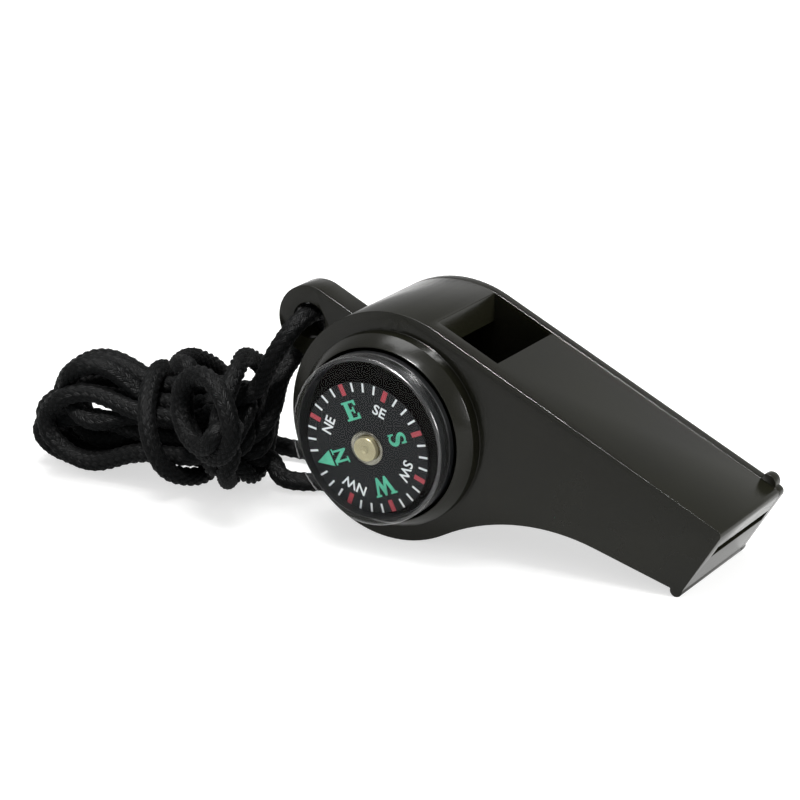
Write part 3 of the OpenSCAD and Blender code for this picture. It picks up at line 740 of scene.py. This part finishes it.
def outlined(shape, thick=INK_T):
    """A film of ink within one outline of (x, y) points."""
    curve = bpy.data.curves.new("outline", "CURVE")
    curve.dimensions = "2D"
    curve.fill_mode = "BOTH"
    curve.extrude = thick / 2
    line = curve.splines.new("POLY")
    line.points.add(len(shape) - 1)
    for point, (x, y) in zip(line.points, shape):
        point.co = (x, y, 0, 1)
    line.use_cyclic_u = True
    return film_of(curve)


def lettered(words, height, thick=INK_T):
    """A film of ink in plain letters, centred, with capitals of a height."""
    curve = bpy.data.curves.new("letters", "FONT")
    curve.body = words
    curve.size = height / 0.7
    curve.align_x = "CENTER"
    curve.offset = 0.02 * height
    curve.extrude = thick / 2
    curve.resolution_u = 4
    verts, faces = film_of(curve)
    return verts - [0, height / 2, 0], faces


def printed(name, films, frame_of, face, material, body):
    """Joins films (verts, faces, x, y, degrees) turned and placed on a face at a height, in mm, to one mesh."""
    origin, right, up, out = frame_of
    all_verts, all_faces, count = [], [], 0
    for verts, faces, x, y, degrees in films:
        a = math.radians(degrees)
        spun = verts[:, :2] @ np.array([[math.cos(a), math.sin(a)], [-math.sin(a), math.cos(a)]])
        flat = np.column_stack([spun + [x, y], verts[:, 2] + face + INK_T / 2 + 0.002])
        all_verts.append(origin + MM * (flat[:, :1] * right + flat[:, 1:2] * up + flat[:, 2:] * out))
        all_faces += [[v + count for v in f] for f in faces]
        count += len(verts)
    piece = put(name, np.vstack(all_verts), all_faces, material, body)
    piece.data.shade_flat()
    return piece


def around(degrees, radius):
    """Where a mark stands on a round face, and its turn with its top outwards."""
    a = math.radians(degrees)
    return radius * math.cos(a), radius * math.sin(a), degrees - 90


def bar_film(width, length):
    """An upright bar of ink about its middle."""
    return outlined([(-width / 2, -length / 2), (width / 2, -length / 2), (width / 2, length / 2),
                     (-width / 2, length / 2)])


white_ink = speckled("white_screen_ink", "#d3d7d9", "#e2e5e6", 1.111, rough=(0.5, 0.6), bump=0.1)
red_ink = speckled("red_screen_ink", "#98172a", "#ac1e33", 1.111, rough=(0.45, 0.55), bump=0.1)
green_ink = speckled("turquoise_screen_ink", "#35a281", "#43b893", 1.111, rough=(0.45, 0.55), bump=0.1)
points = [(*bar_film(.24, 1.1), *around(NORTH + 11.25 * k, 7.42)) for k in range(32) if k % 4]
names = [("NW", 45, 5.45), ("SW", 135, 5.4), ("SE", 225, 5.2), ("NE", 315, 5.45)]
points += [(*lettered(word, 1.25), *around(NORTH + turn_by, r)) for word, turn_by, r in names]
reds = [(*bar_film(.58, 1.4), *around(NORTH + 45 * k, 7.28)) for k in range(1, 8)]
greens = [(*outlined([(-1.0, 0), (1.0, 0), (0, 2.15)]), *around(NORTH, 5.33))]
for letter, turn_by, r, tall in [("N", 0, 4.05, 2.0), ("W", 90, 4.8, 2.3), ("S", 180, 4.5, 2.3), ("E", 270, 4.7, 2.3)]:
    wide = max(x for x, _ in SERIF[letter][0]) + min(x for x, _ in SERIF[letter][0])
    for shape in SERIF[letter]:
        film = outlined([((x - wide / 2) * tall, (y - .5) * tall) for x, y in shape])
        greens.append((*film, *around(NORTH + turn_by, r)))
printed("card_ticks_and_points", points, CARD, CARD_FACE, white_ink, "compass_rotor")
printed("card_red_bars", reds, CARD, CARD_FACE, red_ink, "compass_rotor")
printed("card_arrow_and_letters", greens, CARD, CARD_FACE, green_ink, "compass_rotor")

# Thermometer capsule: the same black cup and clear cap on the cover's side,
# with a step inside that carries the dial.
# Its cup has the same thin black ring of painted shade inside the cap's skirt.
lathe("thermometer_capsule_cup", rounded([
    (0, -.4, 0), (CAPSULE_R, -.4, .1), (CAPSULE_R, SEAM_H, .12), *SKIRT_SHADE_RING, (CUP_R, 3.2, .04),
    (8.35, 3.2, .05), (8.35, .5, .2), (0, .5, 0)]),
    THERMOMETER, cup_mat, "thermometer_cup")
capsule_lens("thermometer_capsule_lens", THERMOMETER, "thermometer_lens")

# Thermometer dial: a stiff black printed disc. The scale beside the tube is
# a guess: no photo shows this side.
DIAL_FACE = 3.6
lathe("thermometer_dial_disc", rounded([
    (0, DIAL_FACE, 0), (0, 3.2, 0), (9.4, 3.2, .04), (9.4, DIAL_FACE, .05)]),
    THERMOMETER, card_mat, "thermometer_dial")

# Dial print: degrees Celsius right of the tube and Fahrenheit left of it,
# with a long tick and a number at each second ten.
BULB_V, COLUMN_TOP, WARMTH, MM_PER_C = -6.2, 1.0, 20, 0.135
scale_films = []
for celsius in range(-20, 51, 2):
    high = COLUMN_TOP + (celsius - WARMTH) * MM_PER_C
    long = 1.3 if celsius % 10 == 0 else .7
    scale_films.append((*bar_film(.12 if celsius % 10 else .18, long), 1.25 + long / 2, high, 90))
    if celsius % 20 == 0:
        scale_films.append((*lettered(str(celsius), 1.15), 3.9, high, 0))
for fahrenheit in range(0, 121, 5):
    high = COLUMN_TOP + ((fahrenheit - 32) / 1.8 - WARMTH) * MM_PER_C
    long = 1.3 if fahrenheit % 20 == 0 else .7
    scale_films.append((*bar_film(.18 if fahrenheit % 20 == 0 else .12, long), -1.25 - long / 2, high, 90))
    if fahrenheit % 40 == 0:
        scale_films.append((*lettered(str(fahrenheit), 1.15), -4.1, high, 0))
printed("dial_scale", scale_films, THERMOMETER, DIAL_FACE, white_ink, "root")
units = [(*lettered("C", 1.5), 3.6, 6.7, 0), (*lettered("F", 1.5), -3.6, 6.7, 0)]
printed("dial_units", units, THERMOMETER, DIAL_FACE, green_ink, "root")

# Thermometer tube: drawn glass with a bulb at the foot, half full of red
# spirit. Both are turned about the tube's own axis, up the dial. The glass
# is seen by its mirror image alone, and the spirit is wet and saturated.
TUBE_H, TUBE_HALF = 4.5, 6.2
tube_at = THERMOMETER[0] + MM * (TUBE_H * THERMOMETER[3] + BULB_V * UPRIGHT)
TUBE = (tube_at, -ALONG, THERMOMETER[3], UPRIGHT)
glass_mat = clear("drawn_glass", "#f7fbfa", 0.02, 1.0)
spirit_mat = speckled("red_spirit_fill", "#b3150f", "#cf2017", 1.429, rough=(0.1, 0.16), bump=0.02)


def dome(radius, middle, start, end, steps=16):
    """Points of a round end from one angle to another above the level, in degrees."""
    a = np.radians(np.linspace(start, end, steps))
    return np.stack([(radius * np.cos(a)).round(9), middle + radius * np.sin(a)], 1)


TUBE_R, BULB_R, BORE_R, GLASS_T = .7, .85, .28, .2
neck_at = math.degrees(math.acos(TUBE_R / BULB_R))
inner_at = math.degrees(math.acos(BORE_R / (BULB_R - GLASS_T)))
tube_outline = np.vstack([
    dome(BULB_R, 0, -90, neck_at, 24), dome(TUBE_R, 2 * TUBE_HALF, 0, 90),
    [(0, 2 * TUBE_HALF - TUBE_R), (BORE_R, 2 * TUBE_HALF - TUBE_R)],
    dome(BULB_R - GLASS_T, 0, inner_at, -90, 20)])
lathe("glass_tube", tube_outline, TUBE, glass_mat, "thermometer_tube", sides=64)
spirit_outline = np.vstack([
    dome(BULB_R - GLASS_T - .01, 0, -90, inner_at, 20),
    [(BORE_R - .01, 1.0), (BORE_R - .01, 7.1), (BORE_R - .08, 7.2), (0, 7.2)]])
lathe("spirit_column", spirit_outline, TUBE, spirit_mat, "thermometer_spirit", sides=48)
